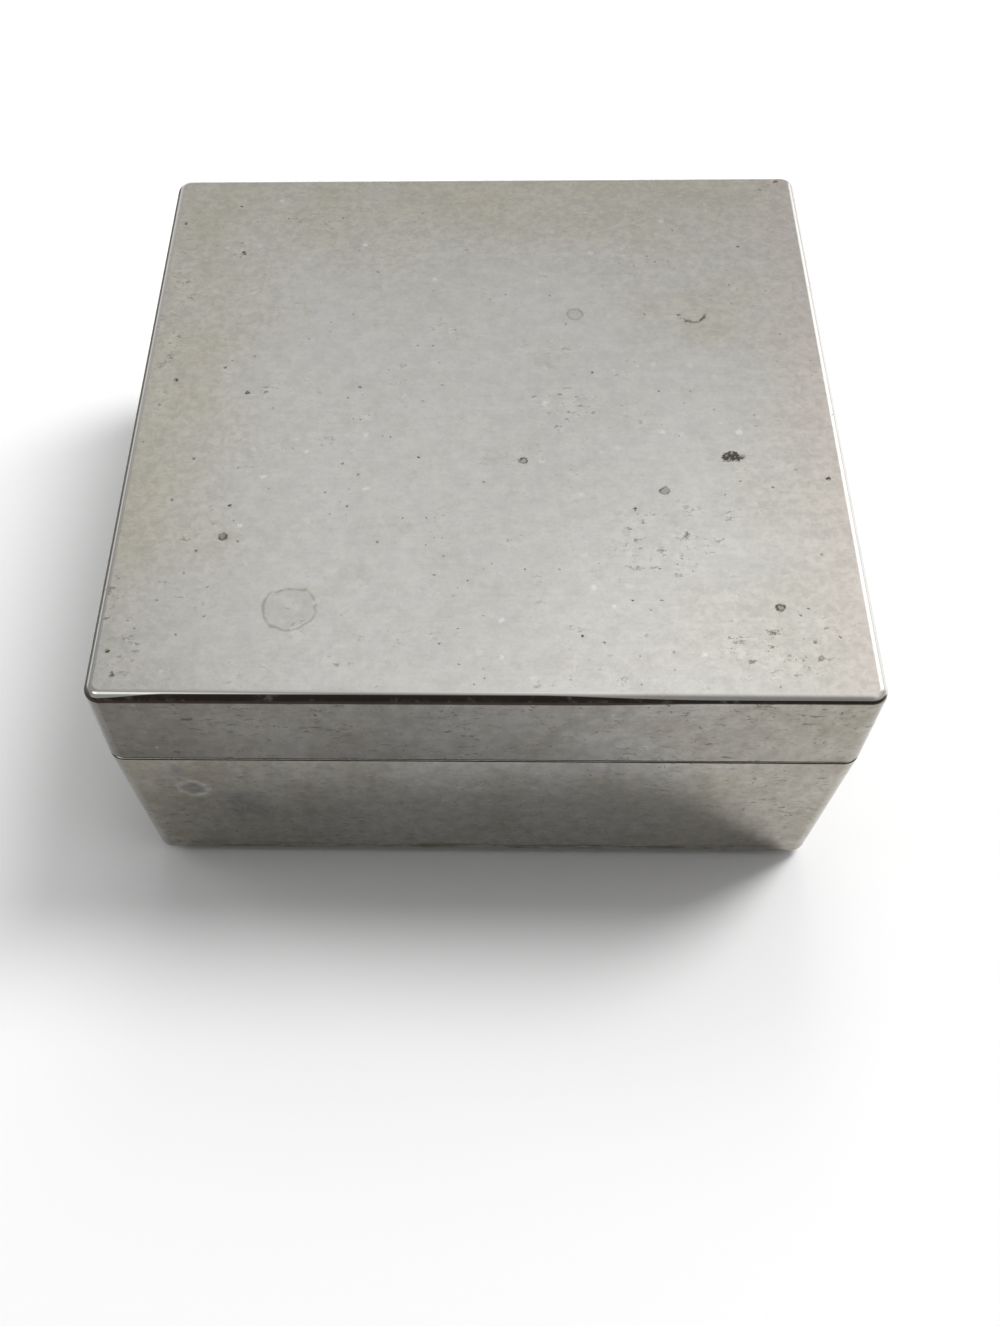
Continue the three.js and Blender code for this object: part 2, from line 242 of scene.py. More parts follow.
class Wiring:
    """Adds and links the nodes of one node tree."""

    def __init__(self, tree):
        self.tree = tree

    def plug(self, socket, value):
        if isinstance(value, bpy.types.NodeSocket):
            self.tree.links.new(value, socket)
        else:
            socket.default_value = value

    def node(self, kind, wires=None, **settings):
        node = self.tree.nodes.new("ShaderNode" + kind)
        for name, value in settings.items():
            setattr(node, name, value)
        for name, value in (wires or {}).items():
            self.plug(node.inputs[name], value)
        return node

    def math(self, operation, first, second=0.0, third=0.0):
        return self.node("Math", {0: first, 1: second, 2: third}, operation=operation).outputs[0]

    def product(self, first, *others):
        for other in others:
            first = self.math("MULTIPLY", first, other)
        return first

    def total(self, first, *others):
        for other in others:
            first = self.math("ADD", first, other)
        return first

    def most(self, first, *others):
        for other in others:
            first = self.math("MAXIMUM", first, other)
        return first

    def inverse(self, value):
        return self.math("SUBTRACT", 1.0, value)

    def vector(self, operation, first, second=(0, 0, 0)):
        return self.node("VectorMath", {0: first, 1: second}, operation=operation).outputs["Vector"]

    def scaled(self, vector, factor):
        return self.node("VectorMath", {0: vector, "Scale": factor}, operation="SCALE").outputs["Vector"]

    def distance(self, first, second):
        return self.node("VectorMath", {0: first, 1: second}, operation="DISTANCE").outputs["Value"]

    def split(self, vector):
        return self.node("SeparateXYZ", {0: vector}).outputs

    def join(self, x, y, z):
        return self.node("CombineXYZ", {0: x, 1: y, 2: z}).outputs[0]

    def ease(self, value, start, end, low=0.0, high=1.0):
        """Goes smoothly from low, where the value is start, to high, where it is end."""
        wires = {"Value": value, "From Min": start, "From Max": end, "To Min": low, "To Max": high}
        return self.node("MapRange", wires, interpolation_type="SMOOTHSTEP").outputs["Result"]

    def mix(self, factor, first, second, blend="MIX"):
        wires = {0: factor, 6: first, 7: second}
        return self.node("Mix", wires, data_type="RGBA", blend_type=blend).outputs[2]

    def blend(self, factor, first, second):
        """Like mix, for plain values."""
        return self.node("Mix", {0: factor, 2: first, 3: second}, data_type="FLOAT").outputs[0]

    def shaded(self, paint, factor):
        """Makes a colour lighter or darker by a factor."""
        return self.mix(1.0, paint, self.join(factor, factor, factor), "MULTIPLY")

    def noise(self, place, scale, detail=2.0, roughness=0.5):
        wires = {"Vector": place, "Scale": scale, "Detail": detail, "Roughness": roughness}
        return self.node("TexNoise", wires).outputs["Fac"]

    def warped(self, place, scale, reach):
        """Moves each place by up to about reach, by a noise of that scale."""
        shove = self.node("TexNoise", {"Vector": place, "Scale": scale}).outputs["Color"]
        centred = self.vector("SUBTRACT", shove, (0.5, 0.5, 0.5))
        return self.vector("ADD", place, self.scaled(centred, reach))

    def blob(self, place, centre, radii):
        """A soft oval patch: 1 in its middle and 0 outside."""
        offset = self.vector("SUBTRACT", place, centre)
        distance = self.node("VectorMath", {0: self.vector("DIVIDE", offset, radii)}, operation="LENGTH")
        return self.ease(distance.outputs["Value"], 1.0, 0.3)

    def placed(self, group, wires):
        node = self.tree.nodes.new("ShaderNodeGroup")
        node.node_tree = group
        for name, value in wires.items():
            self.plug(node.inputs[name], value)
        return node.outputs


def colour(red, green, blue):
    return (red, green, blue, 1)


def grey(level):
    return colour(level, level, level)


def new_group(name, inputs, outputs):
    """A shader node group: its wiring, the sockets that bring values in and those that take them out."""
    tree = bpy.data.node_groups.new(name, "ShaderNodeTree")
    for direction, sockets in (("INPUT", inputs), ("OUTPUT", outputs)):
        for socket, kind in sockets.items():
            tree.interface.new_socket(socket, in_out=direction, socket_type="NodeSocket" + kind)
    inlet = tree.nodes.new("NodeGroupInput").outputs
    outlet = tree.nodes.new("NodeGroupOutput").inputs
    return Wiring(tree), inlet, outlet


def new_material(name):
    """A material, the wiring of its tree and its Principled BSDF."""
    material = bpy.data.materials.new(name)
    material.use_nodes = True
    return material, Wiring(material.node_tree), material.node_tree.nodes["Principled BSDF"]


def place_in_mm(wiring):
    return wiring.scaled(wiring.node("TexCoord").outputs["Object"], 1 / MM)


def add_bump(wiring, shader, height, strength, depth):
    wires = {"Height": height, "Strength": strength, "Distance": depth}
    wiring.plug(shader.inputs["Normal"], wiring.node("Bump", wires).outputs["Normal"])


def edge_polish_group():
    """Rounded edges, which handling keeps bright: where the normal is along none of the three axes."""
    wiring, inlet, outlet = new_group("edge_polish", {"Normal": "Vector"}, {"Mask": "Float"})
    parts = [wiring.math("ABSOLUTE", part) for part in wiring.split(inlet["Normal"])]
    rounded = wiring.ease(wiring.most(*parts), 0.998, 0.98)
    wiring.plug(outlet["Mask"], wiring.product(rounded, wiring.ease(parts[2], 0.35, 0.75, 0.1, 1.0)))
    return wiring.tree


def pits_group():
    """Small scattered corrosion pits. Cells is how many places for one there are per millimetre."""
    inputs = {"Place": "Vector", "Cells": "Float", "Size": "Float", "Share": "Float"}
    wiring, inlet, outlet = new_group("pits", inputs, {"Mask": "Float"})
    ragged = wiring.warped(inlet["Place"], 2.0, 0.7)
    cells = wiring.node("TexVoronoi", {"Vector": ragged, "Scale": inlet["Cells"]})
    chance, spread, depth = wiring.split(cells.outputs["Color"])
    taken = wiring.math("LESS_THAN", chance, inlet["Share"])
    size = wiring.product(inlet["Size"], wiring.ease(spread, 0.0, 1.0, 0.35, 1.0))
    spot = wiring.ease(cells.outputs["Distance"], size, wiring.product(size, 0.4))
    wiring.plug(outlet["Mask"], wiring.product(spot, taken, wiring.ease(depth, 0.0, 1.0, 0.4, 1.0)))
    return wiring.tree


def ring_group():
    """A dried drop: an uneven ring and the patch inside it."""
    inputs = {"Place": "Vector", "Centre": "Vector", "Radius": "Float", "Width": "Float"}
    wiring, inlet, outlet = new_group("ring_stain", inputs, {"Ring": "Float", "Inside": "Float"})
    waves = wiring.math("DIVIDE", 1.3, inlet["Radius"])
    uneven = wiring.warped(inlet["Place"], waves, wiring.product(inlet["Radius"], 0.5))
    distance = wiring.distance(uneven, inlet["Centre"])
    off_ring = wiring.math("ABSOLUTE", wiring.math("SUBTRACT", distance, inlet["Radius"]))
    ring = wiring.ease(off_ring, inlet["Width"], 0.0)
    strength = wiring.ease(wiring.noise(inlet["Place"], 0.6, 3), 0.3, 0.6, 0.4, 1.0)
    wiring.plug(outlet["Ring"], wiring.product(ring, strength))
    inner = wiring.math("SUBTRACT", inlet["Radius"], inlet["Width"])
    wiring.plug(outlet["Inside"], wiring.ease(distance, inlet["Radius"], inner))
    return wiring.tree


def speck_group():
    """One dark speck with a ragged outline."""
    inputs = {"Place": "Vector", "Centre": "Vector", "Radius": "Float"}
    wiring, inlet, outlet = new_group("speck", inputs, {"Mask": "Float"})
    ragged = wiring.warped(inlet["Place"], 1.6, wiring.product(inlet["Radius"], 2.4))
    distance = wiring.distance(ragged, inlet["Centre"])
    spot = wiring.ease(distance, inlet["Radius"], wiring.product(inlet["Radius"], 0.5))
    crumbled = wiring.ease(wiring.noise(inlet["Place"], 2.1, 2), 0.4, 0.52, 0.2, 1.0)
    wiring.plug(outlet["Mask"], wiring.product(spot, crumbled))
    return wiring.tree


def streaks_group():
    """Level streaks left in the plate on the walls by polishing, broken into short dashes."""
    wiring, inlet, outlet = new_group("streaks", {"Place": "Vector", "Share": "Float"}, {"Mask": "Float"})
    drawn = wiring.vector("MULTIPLY", wiring.warped(inlet["Place"], 0.5, 1.2), (0.3, 0.3, 1.6))
    lines = wiring.noise(drawn, 1.0, 6, 0.72)
    patches = wiring.ease(wiring.noise(inlet["Place"], 0.11, 4, 0.6), 0.44, 0.6)
    start = wiring.math("SUBTRACT", 0.66, inlet["Share"])
    mask = wiring.ease(lines, start, wiring.math("ADD", start, 0.12))
    wiring.plug(outlet["Mask"], wiring.product(mask, patches))
    return wiring.tree


EDGE_POLISH = edge_polish_group()
PITS = pits_group()
RING_STAIN = ring_group()
SPECK = speck_group()
STREAKS = streaks_group()

# Marks on top of the lid and on the front of the base: place and radius in millimetres
LID_DROP_STAIN = ((-25.4, -38.2), 3.5)
LID_SMALL_DROP = ((13.9, 18.7), 1.1)
LID_DOTTED_RING = ((31.6, 18.9), 2.0)
LID_RINGED_PITS = (
    ((-35.5, -25.8), 0.5), ((5.7, -11.7), 0.5), ((25.1, -17.4), 0.6), ((38.8, -37.8), 0.5),
)
LID_BLOTCH = ((35.2, -11.0), 1.3)
LID_SPECKS = (
    ((-48.3, 40.8), 0.45), ((-39.7, 45.0), 0.3), ((-38.1, 33.3), 0.6), ((-34.7, 2.0), 0.5),
    ((-45.7, 4.6), 0.4), ((-9.2, -11.1), 0.3), ((-35.1, -20.2), 0.35), ((47.8, 50.7), 0.6),
    ((45.1, 48.6), 0.4), ((20.8, -20.8), 0.35), ((37.5, -41.8), 0.4), ((19.6, -36.7), 0.25),
    ((12.9, -42.5), 0.25), ((47.9, -15.1), 0.5), ((-47.3, -48.9), 0.55), ((-48.4, -45.3), 0.5),
)
BASE_DROP_STAIN = ((-40.8, 21.0), 2.0)
BASE_SMEARS = (((-42.0, 26.0), (1.1, 2.6)), ((-34.0, 15.5), (5.0, 6.5)))

# Crowds of fine pits on top of the lid: middle and half sizes in millimetres
LID_CROWDS = (
    ((-49.5, -40.0), (3.0, 11.0)), ((11.5, -2.0), (8.5, 7.0)), ((25.0, -26.0), (11.0, 9.0)),
    ((38.0, -44.5), (13.0, 7.0)), ((-38.5, 34.0), (3.0, 3.5)), ((-25.0, 42.0), (9.0, 5.0)),
    ((-33.0, 2.0), (3.5, 3.0)), ((47.0, 49.0), (5.0, 4.0)), ((-47.5, 20.0), (3.0, 26.0)),
)

# Pale flecks come from the same pattern as the dark pits, taken from another part of it
FLECK_SHIFT = (31, 17, 9)

# Plate
TOP_SILVER = colour(0.552, 0.543, 0.518)
TOP_TARNISH = colour(0.488, 0.466, 0.395)
TOP_BLUSH = colour(0.55, 0.505, 0.465)
WALL_SILVER = colour(0.41, 0.40, 0.378)
WALL_TARNISH = colour(0.33, 0.308, 0.265)
POLISHED_SILVER = colour(0.76, 0.75, 0.72)
PALE_FLECK = colour(0.70, 0.695, 0.67)
PALE_RIM = colour(0.635, 0.615, 0.555)
# Colour of pits and specks, and of the painted dark reflection down the lid's left edge
PIT_AND_REFLECTION_BROWN = colour(0.06, 0.05, 0.038)
DAMP_BROWN = colour(0.17, 0.13, 0.06)
DROP_GREY = colour(0.25, 0.245, 0.235)
# Painted dark reflection along the lid's front edge, and painted shade in the base's rim under the lid
PAINTED_EDGE_DARK = colour(0.032, 0.021, 0.017)
END_FILM = colour(0.96, 0.93, 0.86)
DULL_ROUGHNESS = 0.13
BRIGHT_ROUGHNESS = 0.1
EDGE_ROUGHNESS = 0.07
PIT_ROUGHNESS = 0.95
BASE_MOTTLING = 0.8

# Hinge, fabric and card colours
LEAF_SILVER = colour(0.5, 0.49, 0.46)
LEAF_FILM = colour(0.33, 0.3, 0.25)
PIN_SILVER = colour(0.45, 0.44, 0.42)
PIN_FILM = colour(0.27, 0.24, 0.2)
VELVET_DEEP = colour(0.007, 0.0105, 0.031)
VELVET_BRUSHED = colour(0.0145, 0.0215, 0.061)
FELT_DEEP = colour(0.006, 0.007, 0.011)
FELT_BRUSHED = colour(0.012, 0.013, 0.019)
SHEEN_BLUE = colour(0.45, 0.55, 0.9)
BOARD_DARK = colour(0.2, 0.185, 0.155)
BOARD_PALE = colour(0.3, 0.28, 0.24)

# Studio sky: how bright it is at each height, its dim front and its horizon
SKY_STOPS = ((0.35, 0.55), (0.5, 0.64), (0.68, 0.87), (0.82, 1.0), (0.95, 1.05))
DIM_FRONT = 0.1
DIM_FRONT_IN_METAL = 0.32
FRONT_HORIZON_IN_METAL = 0.42
HORIZON = 0.72

# Bright patches of sky that only the metal shows: bearing and elevation in degrees, reach and strength
SKY_PATCHES = {
    "window": (48, 25, 0.46, 0.9),
    "sheen": (30, 54, 0.34, 0.22),
    "glint": (-110, 53, 0.2, 1.6),
    "band": (-122, 64, 0.3, 0.8),
}


def lid_top_tarnish(wiring, place):
    """The warm film on the lid: along the back and left edges, and in patches on the right."""
    drifting = wiring.warped(place, 0.045, 26)
    x, y, _ = wiring.split(drifting)
    flat = wiring.vector("MULTIPLY", drifting, (1, 1, 0))
    film = wiring.most(
        wiring.ease(y, 16, 52),
        wiring.product(wiring.ease(x, -24, -48), wiring.ease(y, -48, -20, 0.35, 1.0)),
        wiring.ease(x, 26, 48, 0, 0.6),
        wiring.product(wiring.blob(flat, (34, 21, 0), (19, 17, 1)), 0.75),
        wiring.product(wiring.blob(flat, (36, -44, 0), (26, 13, 1)), 0.4),
        wiring.ease(wiring.noise(place, 0.16, 6, 0.7), 0.52, 0.68, 0.0, 0.45),
    )
    return wiring.product(film, wiring.ease(wiring.noise(place, 0.1, 4, 0.6), 0.3, 0.65, 0.6, 1.0))


def lid_top_marks(wiring, place):
    """The dark marks on top of the lid, and the film of its dried drops."""
    flat = wiring.vector("MULTIPLY", place, (1, 1, 0))
    dark = []
    for centre, radius in LID_SPECKS:
        speck = {"Place": flat, "Centre": (*centre, 0), "Radius": radius}
        dark.append(wiring.placed(SPECK, speck)["Mask"])
    crumbling = wiring.warped(flat, 1.8, 0.8)
    for centre, radius in LID_RINGED_PITS:
        pit = {"Place": crumbling, "Centre": (*centre, 0), "Radius": radius, "Width": 0.3}
        ring = wiring.placed(RING_STAIN, pit)
        dark.append(wiring.most(ring["Ring"], wiring.product(ring["Inside"], 0.35)))
    centre, radius = LID_DOTTED_RING
    dots = {"Place": flat, "Centre": (*centre, 0), "Radius": radius, "Width": 0.5}
    lower_half = wiring.math("LESS_THAN", wiring.split(flat)[1], centre[1] - 0.2)
    broken = wiring.ease(wiring.noise(place, 1.1, 2), 0.43, 0.5)
    dark.append(wiring.product(wiring.placed(RING_STAIN, dots)["Ring"], lower_half, broken))
    centre, radius = LID_BLOTCH
    ragged = wiring.warped(wiring.warped(flat, 0.7, 1.5), 2.6, 0.9)
    middle = wiring.vector("MULTIPLY", wiring.vector("SUBTRACT", ragged, (*centre, 0)), (0.75, 1.05, 0))
    blotch = wiring.ease(wiring.distance(middle, (0, 0, 0)), radius, radius * 0.7)
    dark.append(wiring.product(blotch, wiring.ease(wiring.noise(flat, 1.9, 2), 0.36, 0.46, 0.35, 1.0)))
    film = []
    for centre, radius in (LID_DROP_STAIN, LID_SMALL_DROP):
        drop = {"Place": flat, "Centre": (*centre, 0), "Radius": radius, "Width": 0.4}
        ring = wiring.placed(RING_STAIN, drop)
        film.append(wiring.most(ring["Ring"], wiring.product(ring["Inside"], 0.2)))
    return wiring.most(*dark), wiring.most(*film)


def wall_silver(wiring, place, on_lid):
    """The plate on the walls: duller than on top, with a brown film in clouds and towards the ends, and
    painted shade along their length.
    """
    x = wiring.split(place)[0]
    film = wiring.ease(wiring.noise(place, 0.09, 6, 0.65), 0.42, 0.72, 0.0, 0.8)
    silver = wiring.mix(film, WALL_SILVER, WALL_TARNISH)
    silver = wiring.mix(wiring.ease(wiring.math("ABSOLUTE", x), 8, 46), silver, END_FILM, "MULTIPLY")
    # Painted shade along the walls: the lid's grow darker towards the left, the base's towards both ends
    if on_lid:
        wall_painted_shade = wiring.product(wiring.ease(x, -10, 34, 0.53, 0.88), wiring.ease(x, -51, -28, 0.68, 1.0))
    else:
        wall_painted_shade = wiring.product(wiring.ease(x, -45, -2, 0.88, 1.12), wiring.ease(x, 32, 44, 1.0, 0.86))
    return wiring.shaded(silver, wall_painted_shade)


def base_front_marks(wiring, place):
    """A dried drop on the front of the base, the patch inside it and the smears beside it."""
    x, y, z = wiring.split(place)
    at_front = wiring.math("LESS_THAN", y, -45)
    centre, radius = BASE_DROP_STAIN
    flat = wiring.join(x, z, 0)
    drop = {"Place": flat, "Centre": (*centre, 0), "Radius": radius, "Width": 0.8}
    ring = wiring.placed(RING_STAIN, drop)
    drifting = wiring.warped(flat, 0.35, 2.5)
    smears = [wiring.blob(drifting, (*middle, 0), (*radii, 1)) for middle, radii in BASE_SMEARS]
    smears = wiring.most(*smears)
    return [wiring.product(mask, at_front) for mask in (ring["Ring"], ring["Inside"], smears)]


def plate_grain(wiring, place, worn, mottled):
    """How much lighter or darker the plate is from place to place: grain, mottles, brushing and clouds."""
    grain = wiring.ease(wiring.noise(place, 2.2, 3, 0.6), 0.25, 0.75, -0.03, 0.03)
    mottles = wiring.noise(wiring.warped(place, 0.5, 2), 0.9, 4, 0.6)
    mottles = wiring.product(wiring.ease(mottles, 0.35, 0.65, -0.06, 0.06), mottled)
    brushed = wiring.noise(wiring.vector("MULTIPLY", place, (0.12, 1.8, 1.8)), 1.0, 3, 0.6)
    brushed = wiring.ease(brushed, 0.3, 0.7, -0.014, 0.014)
    clouds = wiring.ease(wiring.noise(place, 0.4, 6, 0.75), 0.3, 0.7, -0.06, 0.06)
    worn_clouds = wiring.ease(wiring.noise(place, 0.5, 5, 0.7), 0.3, 0.7, -0.13, 0.13)
    return wiring.total(1.0, grain, mottles, brushed, clouds, wiring.product(worn_clouds, worn))


def plate_crowds(wiring, place, on_wall, on_lid):
    """Where the plate is eaten away in small clusters."""
    patches = wiring.noise(place, 0.15, 4, 0.65)
    wall_patches = wiring.product(wiring.ease(patches, 0.41, 0.53), on_wall)
    crowds = [wiring.ease(patches, 0.5, 0.68, 0.0, 0.6), wall_patches]
    if on_lid:
        flat = wiring.vector("MULTIPLY", wiring.warped(place, 0.25, 5), (1, 1, 0))
        crowds += [wiring.blob(flat, (*centre, 0), (*radii, 1)) for centre, radii in LID_CROWDS]
    clusters = wiring.ease(wiring.noise(place, 0.4, 4, 0.6), 0.42, 0.62)
    return wiring.product(wiring.most(*crowds), clusters)


def plate_pits(wiring, place, on_wall, worn, crowds):
    """Dark pits: many fine ones, crumbs in crowds, a few larger ones, and dashes on the walls."""
    crowded = wiring.ease(wiring.noise(place, 0.085, 3), 0.48, 0.66, 0.02, 0.25)
    fine = wiring.placed(PITS, {"Place": place, "Cells": 0.9, "Size": 0.26, "Share": crowded})["Mask"]
    drawn_out = wiring.vector("MULTIPLY", wiring.warped(place, 2.0, 0.6), (0.6, 1.0, 1.3))
    crumbs = wiring.ease(wiring.noise(drawn_out, 1.2, 4, 0.7), 0.54, 0.66)
    fine = wiring.product(fine, wiring.ease(on_wall, 0.0, 1.0, 1.0, 0.35))
    fine = wiring.most(fine, wiring.product(crumbs, crowds))
    large = wiring.placed(PITS, {"Place": place, "Cells": 0.25, "Size": 0.1, "Share": 0.5})["Mask"]
    dashes = wiring.placed(STREAKS, {"Place": place, "Share": 0.11})["Mask"]
    shown = wiring.math("ADD", wiring.inverse(on_wall), worn)
    return wiring.most(
        wiring.product(fine, shown, wiring.ease(on_wall, 0.0, 1.0, 0.7, 0.65)),
        wiring.product(large, shown, wiring.ease(on_wall, 0.0, 1.0, 0.85, 0.4)),
        wiring.product(dashes, worn, 0.6),
    )


def lid_edge_reflection(wiring, place, normal):
    """Painted dark reflection in the lid's rounded edge: along the front, where it is uneven, and on the
    left.
    """
    along = wiring.split(place)[0]
    sideways, backward, upward = wiring.split(normal)
    lowest = wiring.ease(along, 12, 30, 0.06, 0.3)
    left_end = wiring.ease(along, -51, -40, 0.62, 0.93)
    right_end = wiring.ease(along, 6, 30, 0.93, 0.7)
    highest = wiring.math("MINIMUM", left_end, right_end)
    above = wiring.ease(upward, lowest, wiring.math("ADD", lowest, 0.1))
    below = wiring.ease(upward, highest, wiring.math("SUBTRACT", highest, 0.06))
    on_front = wiring.product(above, below, wiring.ease(backward, -0.25, -0.35))
    steep = wiring.product(wiring.ease(upward, 0.1, 0.2), wiring.ease(upward, 0.88, 0.78))
    on_left = wiring.product(steep, wiring.ease(sideways, -0.3, -0.5))
    return on_front, on_left


def paint_lid(wiring, place, normal, silver, dark, edge):
    """Adds the lid's tarnished top with its marks, and the painted dark reflection in its rounded edges.

    Gives the silver, the dark marks with the painted reflection down the left edge, the polished edges and
    how mottled the plate is.
    """
    along = wiring.split(place)[0]
    _, backward, upward = wiring.split(normal)
    on_top = wiring.ease(upward, 0.4, 0.8)
    film = lid_top_tarnish(wiring, place)
    top = wiring.mix(film, TOP_SILVER, TOP_TARNISH)
    blushed = wiring.ease(wiring.split(wiring.warped(place, 0.06, 10))[0], 40, 51, 0.0, 0.8)
    top = wiring.mix(blushed, top, TOP_BLUSH)
    marks, drops = lid_top_marks(wiring, place)
    top = wiring.mix(wiring.product(drops, 0.75), top, WALL_TARNISH)
    silver = wiring.mix(on_top, silver, top)
    dark = wiring.most(dark, wiring.product(marks, on_top))
    # Painted dark reflection: a dark stripe along the front edge, and a dark line down the left edge
    on_front, on_left = lid_edge_reflection(wiring, place, normal)
    silver = wiring.mix(wiring.product(on_front, 0.95), silver, PAINTED_EDGE_DARK)
    dark = wiring.most(dark, wiring.product(on_left, 0.85))
    front_right = wiring.product(wiring.ease(backward, 0.0, -0.25), wiring.ease(along, 12, 26))
    edge = wiring.product(edge, wiring.ease(front_right, 0.0, 1.0, 1.0, 0.35))
    edge = wiring.product(edge, wiring.inverse(wiring.most(on_front, on_left)))
    mottled = wiring.ease(film, 0.0, 0.5, 0.3, 1.1)
    return silver, dark, edge, mottled


def paint_base(wiring, place, normal, silver, edge, on_wall):
    """Adds the painted shade in the base's rim under the lid, the marks on its front and the damp spots low
    on its walls.

    Gives the silver and the polished edges.
    """
    upward = wiring.split(normal)[2]
    height = wiring.split(place)[2]
    # Painted shade in the seam: the rim tucked under the lid's edge is made dark
    rim = wiring.product(wiring.ease(upward, 0.1, 0.3), wiring.ease(upward, 0.95, 0.85))
    silver = wiring.mix(wiring.product(rim, 0.9), silver, PAINTED_EDGE_DARK)
    ring, inside, smears = base_front_marks(wiring, place)
    silver = wiring.mix(wiring.product(smears, 0.85), silver, DROP_GREY)
    silver = wiring.mix(wiring.product(inside, 0.7), silver, DROP_GREY)
    silver = wiring.mix(wiring.product(ring, 0.45), silver, PALE_FLECK)
    damp = wiring.noise(wiring.vector("MULTIPLY", place, (0.12, 0.12, 1.2)), 1.0, 4, 0.6)
    low_band = wiring.product(wiring.ease(height, 1.9, 2.4), wiring.ease(height, 4.2, 2.9))
    corroded = wiring.product(wiring.ease(damp, 0.46, 0.58), low_band, on_wall)
    silver = wiring.mix(wiring.product(corroded, 0.75), silver, DAMP_BROWN)
    return silver, wiring.product(edge, wiring.inverse(rim))


def add_pale_marks(wiring, place, silver, on_wall, crowds):
    """Adds pale flecks, and pale rims among the crowds of pits."""
    scattered = wiring.ease(wiring.noise(place, 0.06, 3), 0.44, 0.64, 0.06, 0.6)
    elsewhere = wiring.vector("ADD", place, FLECK_SHIFT)
    spots = {"Place": elsewhere, "Cells": 0.36, "Size": 0.28, "Share": scattered}
    flecks = wiring.product(wiring.placed(PITS, spots)["Mask"], wiring.ease(on_wall, 0.0, 1.0, 0.9, 0.2))
    silver = wiring.mix(flecks, silver, PALE_FLECK)
    rims = wiring.noise(wiring.warped(elsewhere, 1.4, 0.8), 0.9, 4, 0.7)
    rims = wiring.product(wiring.ease(rims, 0.46, 0.6, 0.0, 0.6), crowds, wiring.inverse(on_wall))
    return wiring.mix(rims, silver, PALE_RIM)


def plate_material(name, on_lid):
    """Dulled silver plate with its tarnish, pits, dashes and dried drops."""
    material, wiring, shader = new_material(name)
    place = place_in_mm(wiring)
    normal = wiring.node("TexCoord").outputs["Normal"]
    _, backward, upward = wiring.split(normal)
    on_wall = wiring.inverse(wiring.ease(wiring.math("ABSOLUTE", upward), 0.35, 0.7))
    worn = wiring.product(on_wall, wiring.ease(backward, -0.6, -0.9, 0.35, 1.0))
    edge = wiring.placed(EDGE_POLISH, {"Normal": normal})["Mask"]

    silver = wall_silver(wiring, place, on_lid)
    crowds = plate_crowds(wiring, place, on_wall, on_lid)
    dark = plate_pits(wiring, place, on_wall, worn, crowds)
    if on_lid:
        silver, dark, edge, mottled = paint_lid(wiring, place, normal, silver, dark, edge)
    else:
        silver, edge = paint_base(wiring, place, normal, silver, edge, on_wall)
        mottled = BASE_MOTTLING
    shade = plate_grain(wiring, place, worn, mottled)
    silver = add_pale_marks(wiring, place, wiring.shaded(silver, shade), on_wall, crowds)
    silver = wiring.mix(wiring.product(edge, 0.9), silver, POLISHED_SILVER)
    wiring.plug(shader.inputs["Base Color"], wiring.mix(dark, silver, PIT_AND_REFLECTION_BROWN))

    rough = wiring.ease(shade, 0.9, 1.1, DULL_ROUGHNESS, BRIGHT_ROUGHNESS)
    rough = wiring.blend(dark, wiring.blend(edge, rough, EDGE_ROUGHNESS), PIT_ROUGHNESS)
    wiring.plug(shader.inputs["Roughness"], rough)
    wiring.plug(shader.inputs["Metallic"], wiring.ease(dark, 0.3, 0.9, 1.0, 0.0))
    relief = wiring.math("MULTIPLY_ADD", dark, -0.3, wiring.product(shade, 0.2))
    add_bump(wiring, shader, relief, strength=0.05, depth=0.06 * MM)
    return material


def add_camera():
    """The photo's camera, with the shift that its upright frame needs."""
    data = bpy.data.cameras.new("camera")
    camera = bpy.data.objects.new("camera", data)
    bpy.context.scene.collection.objects.link(camera)
    camera.location = CAMERA_PLACE
    camera.rotation_mode = "QUATERNION"
    aim = (CAMERA_AIM - CAMERA_PLACE).to_track_quat("-Z", "Y")
    camera.rotation_quaternion = aim @ Quaternion((0, 0, 1), CAMERA_ROLL)
    data.sensor_width = SENSOR
    data.lens = FOCAL_LENGTH_PIXELS / PHOTO_HEIGHT * SENSOR
    data.shift_x = (PHOTO_WIDTH / 2 - AXIS_COLUMN) / PHOTO_HEIGHT
    data.shift_y = (AXIS_ROW - PHOTO_HEIGHT / 2) / PHOTO_HEIGHT
    data.clip_start = 1 * MM
    data.clip_end = 20
    bpy.context.scene.camera = camera


def sky_direction(bearing, elevation):
    """Both in degrees. Bearing is turned from straight behind the box towards its right."""
    turn = math.radians(bearing)
    rise = math.radians(elevation)
    level = Vector((math.sin(turn), math.cos(turn), 0))
    return level * math.cos(rise) + UP * math.sin(rise)


def sky_patch(wiring, direction, bearing, elevation, reach, strength):
    """A soft bright patch of sky."""
    off_middle = wiring.distance(direction, tuple(sky_direction(bearing, elevation)))
    return wiring.ease(off_middle, reach, 0.4 * reach, 0.0, strength)


